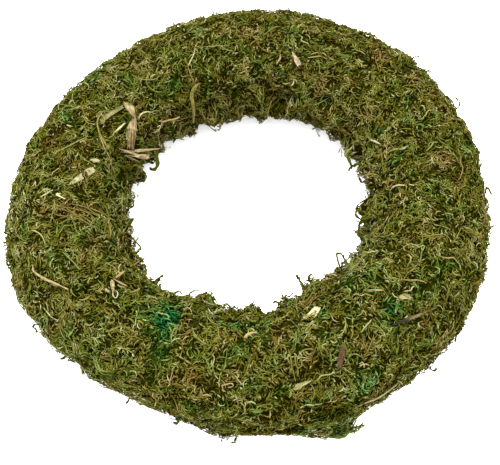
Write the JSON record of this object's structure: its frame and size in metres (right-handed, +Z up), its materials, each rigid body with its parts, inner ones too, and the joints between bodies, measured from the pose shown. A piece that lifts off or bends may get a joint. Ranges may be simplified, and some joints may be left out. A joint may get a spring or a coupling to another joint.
{
  "type": "moss wreath",
  "caption": "Round wreath of dried curly moss, wired in handfuls onto a bound straw ring, with bits of straw, wood and bark caught in it.",
  "frame": {"origin": "on the surface that the wreath lies on, under the middle of the ring", "axes": "+Z up, out of the plane of the ring; -Y towards the near side, where the loose flaps of moss lie; X across"},
  "size_m": [0.3043, 0.3081, 0.0739],
  "materials": {
    "moss": "dry, curly and dull",
    "straw": "dry straw, satin",
    "jute_twine": "hairy twine",
    "green_wire": "green lacquer, satin",
    "dry_straw": "dry straw, satin",
    "pale_wood": "raw split wood, dull",
    "red_bark": "raw bark, dull",
    "dry_leaf": "dry leaf, dull",
    "brown_twig": "raw twig, dull",
    "olive_stem": "dry grass, dull"
  },
  "bodies": {
    "root": {"bark_flake": "red_bark", "bent_stalk": "dry_straw", "binding_wire": "green_wire", "brown_twig": "brown_twig", "grass_curl": "pale_wood", "grass_loop": "olive_stem", "leaf_bit": "dry_leaf", "leaf_blade": "dry_leaf", "moss_pad_01": "moss", "moss_pad_02": "moss", "moss_pad_03": "moss", "moss_pad_04": "moss", "moss_pad_05": "moss", "moss_pad_06": "moss", "moss_pad_07": "moss", "moss_pad_08": "moss", "moss_pad_09": "moss", "moss_pad_10": "moss", "moss_pad_11": "moss", "moss_pad_12": "moss", "moss_pad_13": "moss", "moss_pad_14": "moss", "moss_stem": "olive_stem", "pale_leaf": "dry_leaf", "pink_leaf": "dry_leaf", "straw_bit_1": "pale_wood", "straw_bit_2": "pale_wood", "straw_bit_3": "dry_straw", "straw_bit_4": "dry_straw", "straw_bit_5": "pale_wood", "straw_chunk": "pale_wood", "straw_ring": "straw", "straw_splinter_1": "pale_wood", "straw_splinter_2": "dry_straw", "straw_splinter_3": "dry_straw", "straw_splinter_4": "dry_straw", "straw_stalk": "dry_straw", "straw_torn_end": "dry_straw", "straw_tuft_1": "dry_straw", "straw_tuft_2": "dry_straw", "straw_tuft_3": "pale_wood", "straw_twine": "jute_twine", "thin_stalk": "dry_straw", "wood_chip_1": "pale_wood", "wood_chip_2": "pale_wood", "wood_chip_3": "pale_wood", "wood_chip_4": "pale_wood", "wood_chip_5": "pale_wood"}
  },
  "joints": []
}
